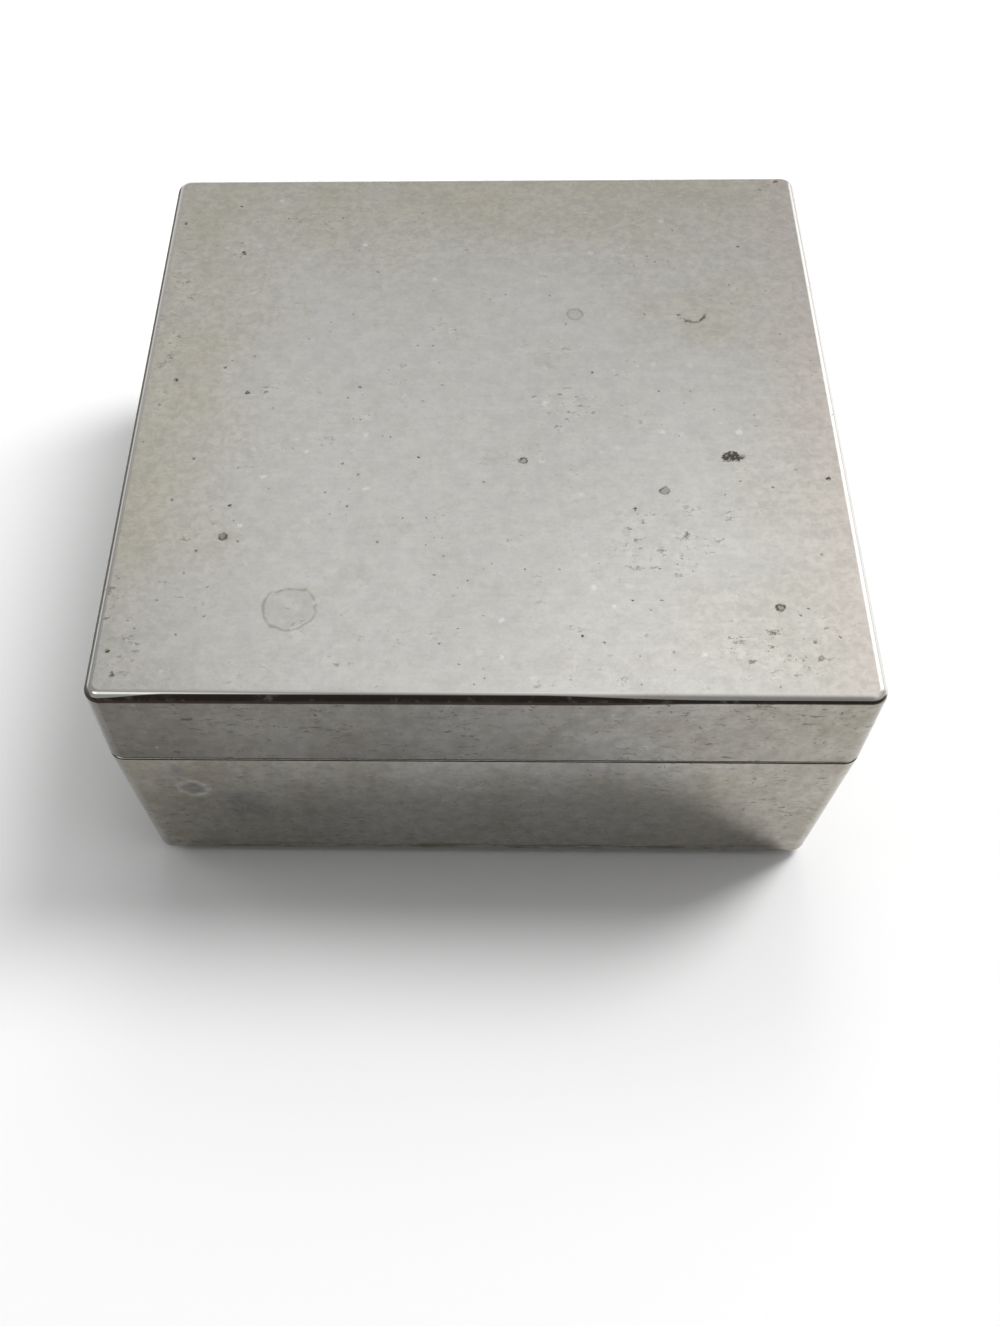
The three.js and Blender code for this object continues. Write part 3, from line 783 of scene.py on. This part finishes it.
def add_world():
    """A studio sky: bright behind and to the right of the box, dim in front, and white to the camera.

    Where the camera sees it in the metal, its front is less dim and it has its bright patches.
    """
    world = bpy.data.worlds.new("studio")
    bpy.context.scene.world = world
    world.use_nodes = True
    wiring = Wiring(world.node_tree)
    direction = wiring.node("TexCoord").outputs["Generated"]
    x, y, z = wiring.split(direction)
    rays = wiring.node("LightPath").outputs
    in_metal = wiring.product(rays["Is Glossy Ray"], wiring.math("LESS_THAN", rays["Diffuse Depth"], 0.5))
    sky = wiring.node("ValToRGB", {"Fac": z})
    ramp = sky.color_ramp
    while len(ramp.elements) < len(SKY_STOPS):
        ramp.elements.new(0.5)
    for element, (height, level) in zip(ramp.elements, SKY_STOPS):
        element.position = height
        element.color = grey(level)
    dim = wiring.mix(in_metal, grey(DIM_FRONT), grey(DIM_FRONT_IN_METAL))
    front_horizon = wiring.mix(in_metal, grey(DIM_FRONT), grey(FRONT_HORIZON_IN_METAL))
    bright_side = wiring.math("MULTIPLY_ADD", y, 0.9, wiring.product(x, 1.2))
    overhead = wiring.mix(wiring.ease(bright_side, -0.35, 0.5), dim, sky.outputs["Color"])
    overhead = wiring.mix(wiring.ease(y, -0.1, -0.6, 0.0, 0.5), overhead, dim)
    horizon = wiring.mix(wiring.ease(y, -0.7, 0.1), front_horizon, grey(HORIZON))
    light = wiring.mix(wiring.ease(z, 0.22, 0.42), horizon, overhead)
    patches = wiring.total(*(sky_patch(wiring, direction, *patch) for patch in SKY_PATCHES.values()))
    patches = wiring.product(patches, in_metal)
    light = wiring.mix(1.0, light, wiring.join(patches, patches, patches), "ADD")
    shown = wiring.mix(rays["Is Camera Ray"], light, grey(1))
    wiring.plug(world.node_tree.nodes["Background"].inputs["Color"], shown)


def add_softbox(name, bearing, elevation, distance, energy, shape, sizes):
    """A large area light that points at the box and isn't seen in its metal."""
    data = bpy.data.lights.new(name, "AREA")
    softbox = bpy.data.objects.new(name, data)
    bpy.context.scene.collection.objects.link(softbox)
    towards = sky_direction(bearing, elevation)
    softbox.location = towards * distance
    softbox.rotation_mode = "QUATERNION"
    softbox.rotation_quaternion = (-towards).to_track_quat("-Z", "Y")
    softbox.visible_glossy = False
    data.energy = energy
    data.shape = shape
    data.size, data.size_y = sizes


def add_lights():
    """A key light on the right, a weak one behind the box, and one on the left that opens up the shadow."""
    add_softbox(
        "key", bearing=62, elevation=56, distance=1.0, energy=6.5, shape="ELLIPSE", sizes=(0.3, 0.58)
    )
    add_softbox(
        "rear", bearing=5, elevation=50, distance=1.0, energy=1.2, shape="ELLIPSE", sizes=(0.34, 0.6)
    )
    add_softbox(
        "fill", bearing=-78, elevation=32, distance=0.8, energy=1.2, shape="SQUARE", sizes=(0.5, 0.5)
    )


def add_floor():
    """Pale paper that the box stands on. Away from the box, the camera sees it plain white."""
    width = 12
    white_from = 0.2
    white_to = 0.42
    deselect_all()
    bpy.ops.mesh.primitive_plane_add(size=width)
    floor = bpy.context.object
    floor.name = "floor"
    material, wiring, shader = new_material("floor_paper")
    shader.inputs["Base Color"].default_value = grey(0.95)
    shader.inputs["Roughness"].default_value = 0.95
    shader.inputs["Specular IOR Level"].default_value = 0.1
    from_middle = wiring.distance(wiring.node("TexCoord").outputs["Object"], (0, 0, 0))
    seen = wiring.node("LightPath").outputs["Is Camera Ray"]
    far = wiring.product(wiring.ease(from_middle, white_from, white_to), seen)
    white = wiring.node("Emission").outputs["Emission"]
    blend = wiring.node("MixShader", {0: far, 1: shader.outputs["BSDF"], 2: white})
    output = material.node_tree.nodes["Material Output"]
    wiring.plug(output.inputs["Surface"], blend.outputs["Shader"])
    floor.data.materials.append(material)


def cut_across(place, direction):
    """Adds a straight line of edges right through the piece in edit mode."""
    bpy.ops.mesh.select_all(action="SELECT")
    bpy.ops.mesh.bisect(plane_co=place, plane_no=direction)


def delete_faces(piece, wanted):
    select_where(piece, "FACE", lambda face: wanted(face.calc_center_median()))
    bpy.ops.mesh.delete(type="FACE")


def knuckle_start(index):
    return -BARREL_LENGTH / 2 + index * KNUCKLE_PITCH


def hinge_leaf(name, kept, lean):
    """A sheet leaf whose upper edge is cut into tabs, which are rolled round the pin into knuckles."""
    roll_radius = BARREL_RADIUS - LEAF_THICKNESS / 2
    slit_angle = math.asin((LEAF_THICKNESS / 2 + CURL_SLIT) / roll_radius)
    height = LEAF_REACH - roll_radius
    deselect_all()
    middle = (0, 0, -(LEAF_REACH + roll_radius) / 2)
    bpy.ops.mesh.primitive_plane_add(size=1, location=middle, rotation=(math.radians(90), 0, 0))
    piece = bpy.context.object
    piece.name = name
    piece.data.name = name
    piece.scale = (BARREL_LENGTH, height, 1)
    bpy.ops.object.transform_apply(location=True, rotation=True, scale=True)
    open_edit(piece)
    for index in range(1, KNUCKLES):
        cut_across((knuckle_start(index), 0, 0), (1, 0, 0))
        cut_across((knuckle_start(index) - KNUCKLE_GAP, 0, 0), (1, 0, 0))
    for end in (-1, 1):
        cut_across((end * LEAF_LENGTH / 2, 0, 0), (1, 0, 0))
    cut_across((0, 0, -BARREL_ROOM), (0, 0, 1))
    cut_across((0, 0, -BARREL_RADIUS), (0, 0, 1))

    def on_tab(x):
        return any(0 < x - knuckle_start(index) < KNUCKLE_PITCH - KNUCKLE_GAP for index in kept)

    delete_faces(piece, lambda at: at.z > -BARREL_ROOM and not on_tab(at.x))
    delete_faces(piece, lambda at: at.z < -BARREL_RADIUS and abs(at.x) > LEAF_LENGTH / 2)
    near = 1e-6
    select_where(piece, "EDGE", lambda edge: all(vert.co.z > -roll_radius - near for vert in edge.verts))
    turn = 2 * math.pi - slit_angle
    bpy.ops.mesh.spin(steps=CURL_STEPS, angle=turn, center=(0, 0, 0), axis=(1, 0, 0))
    bpy.ops.mesh.select_all(action="SELECT")
    bpy.ops.mesh.remove_doubles(threshold=near)
    bpy.ops.mesh.normals_make_consistent(inside=False)
    close_edit()
    apply_modifier(piece, "SOLIDIFY", thickness=LEAF_THICKNESS, offset=0, use_even_offset=True)
    sharp = math.radians(50)
    apply_modifier(
        piece, "BEVEL", width=LEAF_EDGE_BREAK, segments=2, limit_method="ANGLE", angle_limit=sharp
    )
    piece.rotation_euler = (lean, 0, 0)
    piece.location = HINGE
    make_active(piece)
    bpy.ops.object.transform_apply(location=True, rotation=True, scale=True)
    smooth(piece)
    return piece


def hinge_pin():
    """A length of wire with its ends filed round."""
    low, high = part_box("hinge_pin")
    deselect_all()
    bpy.ops.mesh.primitive_cylinder_add(
        vertices=PIN_SIDES,
        radius=PIN_RADIUS,
        depth=high.x - low.x,
        location=(low + high) / 2,
        rotation=(0, math.radians(90), 0),
    )
    piece = bpy.context.object
    piece.name = "pin"
    piece.data.name = "pin"
    bpy.ops.object.transform_apply(location=True, rotation=True, scale=True)
    open_edit(piece)
    select_where(piece, "EDGE", lambda edge: on_border(edge, lambda face: abs(face.normal.x) > FACING))
    bpy.ops.mesh.bevel(offset=PIN_CHAMFER, segments=4, affect="EDGES")
    close_edit()
    smooth(piece)
    return piece


def swell(piece, outwards, crown):
    """Blows up the outer face of a pad as cloth, and holds its crown to the given height."""
    faces_of = {index: [] for index in range(len(piece.data.vertices))}
    for face in piece.data.polygons:
        for index in face.vertices:
            faces_of[index].append(face.normal.dot(outwards) > 0.98)
    fixed = [index for index, outer in faces_of.items() if not all(outer)]
    free = [index for index, outer in faces_of.items() if all(outer)]
    piece.vertex_groups.new(name="fixed").add(fixed, 1.0, "ADD")
    level = piece.data.vertices[free[0]].co.dot(outwards)
    make_active(piece)
    cloth = piece.modifiers.new("swell", "CLOTH")
    cloth.settings.vertex_group_mass = "fixed"
    cloth.settings.mass = CLOTH_MASS
    cloth.settings.use_pressure = True
    cloth.settings.uniform_pressure_force = SWELL_PRESSURE
    cloth.settings.effector_weights.gravity = 0
    cloth.point_cache.frame_start = 1
    cloth.point_cache.frame_end = SWELL_FRAMES
    for moment in range(1, SWELL_FRAMES + 1):
        bpy.context.scene.frame_set(moment)
    bpy.ops.object.modifier_apply(modifier=cloth.name)
    bpy.context.scene.frame_set(1)
    rise = max(piece.data.vertices[index].co.dot(outwards) for index in free) - level
    free_set = set(free)
    open_edit(piece)
    bpy.ops.mesh.select_mode(type="VERT")
    bpy.ops.mesh.select_all(action="DESELECT")
    mesh = bmesh.from_edit_mesh(piece.data)
    for vert in mesh.verts:
        if vert.index in free_set:
            vert.select_set(True)
    bmesh.update_edit_mesh(piece.data)
    stretch = Vector((1, 1, 1)) + Vector([abs(part) for part in outwards]) * (crown / rise - 1)
    bpy.ops.transform.resize(value=stretch, center_override=outwards * level)
    close_edit()


def pad(name, low, high, outwards, crown, corner, edge, square, narrower=0.0):
    """A velvet-covered pad on card. outwards is the side that swells.

    narrower is how far each lower corner is taken in.
    """
    round_steps = 4
    piece = add_block(name, low, high)
    depth = [axis for axis in range(3) if abs(outwards[axis]) > 0.5][0]
    across = [axis for axis in range(3) if axis != depth]
    open_edit(piece)
    if narrower:
        select_where(piece, "FACE", lambda face: face.normal.z < -FACING)
        slimmer = Vector((1, 1, 1))
        slimmer[across[0]] = 1 - 2 * narrower / (high - low)[across[0]]
        bpy.ops.transform.resize(value=slimmer, center_override=(low + high) / 2)
    span = (high - low)[depth]

    def through(edge_line):
        return abs(edge_line.verts[0].co[depth] - edge_line.verts[1].co[depth]) > span / 2

    def is_outer(face):
        return face.normal.dot(outwards) > FACING

    select_where(piece, "EDGE", through)
    bpy.ops.mesh.bevel(offset=corner, segments=round_steps, affect="EDGES")
    select_where(piece, "EDGE", lambda line: on_border(line, is_outer))
    bpy.ops.mesh.bevel(offset=edge, segments=round_steps, affect="EDGES")
    for axis in across:
        first = low[axis] + 2 * corner
        last = high[axis] - 2 * corner
        cuts = round((last - first) / square)
        direction = Vector((0, 0, 0))
        direction[axis] = 1
        for step in range(cuts + 1):
            cut_across(direction * (first + (last - first) * step / cuts), direction)
    close_edit()
    swell(piece, outwards, crown)
    apply_modifier(piece, "SUBSURF", levels=1, render_levels=1)
    return piece


def wall_lining(node, body, towards, material, leans):
    """A velvet panel on one wall. towards points into the box, and leans is True where the wall leans."""
    low, high = (Vector(corner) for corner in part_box(node))
    axis = 0 if abs(towards.x) > 0.5 else 1
    lean = math.atan((high[axis] - low[axis] - LINING_THICKNESS) / (high.z - low.z)) if leans else 0
    if towards[axis] > 0:
        high[axis] = low[axis] + LINING_THICKNESS
    else:
        low[axis] = high[axis] - LINING_THICKNESS
    narrower = LINING_TAPER if leans else 0
    name = node.replace("lining", "velvet")
    piece = pad(name, low, high, towards, LINING_CROWN, LINING_ROUND, LINING_ROUND, LINING_SQUARE, narrower)
    if leans:
        outer = low if towards[axis] > 0 else high
        upper_edge = (outer.x, outer.y, high.z)
        open_edit(piece)
        bpy.ops.mesh.select_all(action="SELECT")
        turn_axis = "X" if axis == 1 else "Y"
        sign = towards[axis] * (-1 if axis == 1 else 1)
        bpy.ops.transform.rotate(value=lean * sign, orient_axis=turn_axis, center_override=upper_edge)
        close_edit()
    smooth(piece, CLOTH_SMOOTHING)
    finish_piece(piece, body, "velvet", material, node)


def flat_pad(name, node, body, outwards, material):
    """A velvet pad on the floor of the base or under the lid's top."""
    low, high = (Vector(corner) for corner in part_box(node))
    crown = high.z - low.z - PAD_THICKNESS
    if outwards.z > 0:
        high.z = low.z + PAD_THICKNESS
    else:
        low.z = high.z - PAD_THICKNESS
    piece = pad(name, low, high, outwards, crown, PAD_CORNER_RADIUS, PAD_ROUND, PAD_SQUARE)
    smooth(piece, CLOTH_SMOOTHING)
    finish_piece(piece, body, "velvet", material, node)


def felt_sheet(material):
    """The felt glued under the base, with round corners and pressed edges."""
    corner_steps = 6
    edge_steps = 3
    low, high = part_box("base_felt")
    half = (high.z - low.z) / 2
    piece = add_block("felt_sheet", low, high)
    open_edit(piece)
    select_where(piece, "EDGE", lambda edge: abs(edge.verts[0].co.z - edge.verts[1].co.z) > half)
    bpy.ops.mesh.bevel(offset=FELT_CORNER_RADIUS, segments=corner_steps, affect="EDGES")
    select_where(piece, "EDGE", lambda edge: on_border(edge, lambda face: abs(face.normal.z) > FACING))
    bpy.ops.mesh.bevel(offset=FELT_EDGE_ROUND, segments=edge_steps, affect="EDGES")
    close_edit()
    smooth(piece, FELT_SMOOTHING)
    finish_piece(piece, "base", "felt", material, "base_felt")


def pile_group():
    """Short pile: patches where it is brushed one way or the other, and the ends of its fibres."""
    inputs = {"Place": "Vector", "Fibres": "Float"}
    wiring, inlet, outlet = new_group("pile", inputs, {"Brushed": "Float", "Height": "Float"})
    drifting = wiring.warped(inlet["Place"], 0.08, 9)
    patches = wiring.noise(drifting, 0.11, 4, 0.6)
    crushed = wiring.noise(inlet["Place"], 0.7, 4, 0.7)
    brushed = wiring.math("MULTIPLY_ADD", crushed, 0.6, patches)
    wiring.plug(outlet["Brushed"], wiring.ease(brushed, 0.6, 1.0))
    fibres = wiring.noise(inlet["Place"], inlet["Fibres"], 3, 0.7)
    wiring.plug(outlet["Height"], wiring.ease(fibres, 0.25, 0.75))
    return wiring.tree


PILE = pile_group()


def pile_material(name, fibres, deep, brushed, sheen, depth):
    """A pile fabric: deep between its fibres, lighter where they are brushed towards the light."""
    material, wiring, shader = new_material(name)
    place = place_in_mm(wiring)
    pile = wiring.placed(PILE, {"Place": place, "Fibres": fibres})
    fabric = wiring.mix(pile["Brushed"], deep, brushed)
    between = wiring.ease(pile["Height"], 0.0, 1.0, 0.55, 1.25)
    wiring.plug(shader.inputs["Base Color"], wiring.shaded(fabric, between))
    shader.inputs["Roughness"].default_value = 0.95
    shader.inputs["Specular IOR Level"].default_value = 0.15
    shader.inputs["Sheen Weight"].default_value = sheen
    shader.inputs["Sheen Roughness"].default_value = 0.35
    shader.inputs["Sheen Tint"].default_value = SHEEN_BLUE
    add_bump(wiring, shader, pile["Height"], strength=0.5, depth=depth)
    return material


def drawn_metal(name, along, silver, film):
    """Plain plated metal, drawn or brushed along the hinge, with a brown film and a few pits."""
    material, wiring, shader = new_material(name)
    place = place_in_mm(wiring)
    lines = wiring.noise(wiring.vector("MULTIPLY", place, along), 1.0, 3, 0.6)
    clouds = wiring.ease(wiring.noise(place, 0.22, 4, 0.6), 0.4, 0.7)
    metal = wiring.mix(clouds, silver, film)
    metal = wiring.shaded(metal, wiring.ease(lines, 0.25, 0.75, 0.88, 1.1))
    pits = wiring.placed(PITS, {"Place": place, "Cells": 0.7, "Size": 0.25, "Share": 0.2})["Mask"]
    wiring.plug(shader.inputs["Base Color"], wiring.mix(wiring.product(pits, 0.7), metal, PIT_AND_REFLECTION_BROWN))
    wiring.plug(shader.inputs["Roughness"], wiring.ease(clouds, 0.0, 1.0, 0.24, 0.42))
    shader.inputs["Metallic"].default_value = 1
    add_bump(wiring, shader, lines, strength=0.2, depth=0.02 * MM)
    return material


def card_material():
    """Grey board: pressed fibres and specks."""
    material, wiring, shader = new_material("grey_board")
    place = place_in_mm(wiring)
    fibres = wiring.noise(wiring.vector("MULTIPLY", place, (0.5, 2.0, 2.0)), 1.0, 4, 0.65)
    board = wiring.mix(wiring.ease(fibres, 0.3, 0.7), BOARD_DARK, BOARD_PALE)
    specks = wiring.placed(PITS, {"Place": place, "Cells": 0.8, "Size": 0.25, "Share": 0.3})["Mask"]
    wiring.plug(shader.inputs["Base Color"], wiring.mix(wiring.product(specks, 0.6), board, PIT_AND_REFLECTION_BROWN))
    shader.inputs["Roughness"].default_value = 0.9
    add_bump(wiring, shader, fibres, strength=0.3, depth=0.05 * MM)
    return material


bpy.context.scene.view_settings.view_transform = "Standard"
add_camera()
add_world()
add_lights()
add_floor()

lid_plate = plate_material("lid_plate", True)
base_plate = plate_material("base_plate", False)
lid_pan = pan("lid_pan", LID_LOW, LID_HIGH, 1, LID_EDGE_RADIUS, 0)
finish_piece(lid_pan, "lid", "silver_plate", lid_plate, "lid_shell")
base_pan = pan("base_pan", BASE_LOW, BASE_HIGH, -1, BASE_EDGE_RADIUS, BASE_TAPER)
finish_piece(base_pan, "base", "silver_plate", base_plate, "base_shell")

leaf_metal = drawn_metal("leaf_metal", (0.15, 2.0, 2.0), LEAF_SILVER, LEAF_FILM)
pin_metal = drawn_metal("pin_metal", (0.08, 3.0, 3.0), PIN_SILVER, PIN_FILM)
wall_lean = math.atan(BASE_TAPER / (BASE_HIGH.z - BASE_LOW.z))
base_leaf = hinge_leaf("base_leaf", range(0, KNUCKLES, 2), -wall_lean)
finish_piece(base_leaf, "base", "hinge_metal", leaf_metal, "hinge_base_leaf")
lid_leaf = hinge_leaf("lid_leaf", range(1, KNUCKLES, 2), math.pi)
finish_piece(lid_leaf, "lid", "hinge_metal", leaf_metal, "hinge_lid_leaf")
finish_piece(hinge_pin(), "base", "pin_wire", pin_metal, "hinge_pin")

navy = pile_material("navy_velvet", 2.4, VELVET_DEEP, VELVET_BRUSHED, sheen=0.45, depth=0.3 * MM)
inwards = {
    "front": Vector((0, 1, 0)),
    "rear": Vector((0, -1, 0)),
    "left": Vector((1, 0, 0)),
    "right": Vector((-1, 0, 0)),
}
for side, towards in inwards.items():
    wall_lining(f"base_{side}_lining", "base", towards, navy, True)
    wall_lining(f"lid_{side}_lining", "lid", towards, navy, False)
flat_pad("floor_velvet_pad", "base_floor_pad", "base", UP, material=navy)
flat_pad("lid_velvet_pad", "lid_pad", "lid", -UP, material=navy)
felt = pile_material("dark_felt", 2.0, FELT_DEEP, FELT_BRUSHED, sheen=0.3, depth=0.2 * MM)
felt_sheet(felt)
board = card_material()
for node in ("base_floor_board", "lid_pad_board"):
    frame["nodes"][node].data.materials.clear()
    frame["nodes"][node].data.materials.append(board)
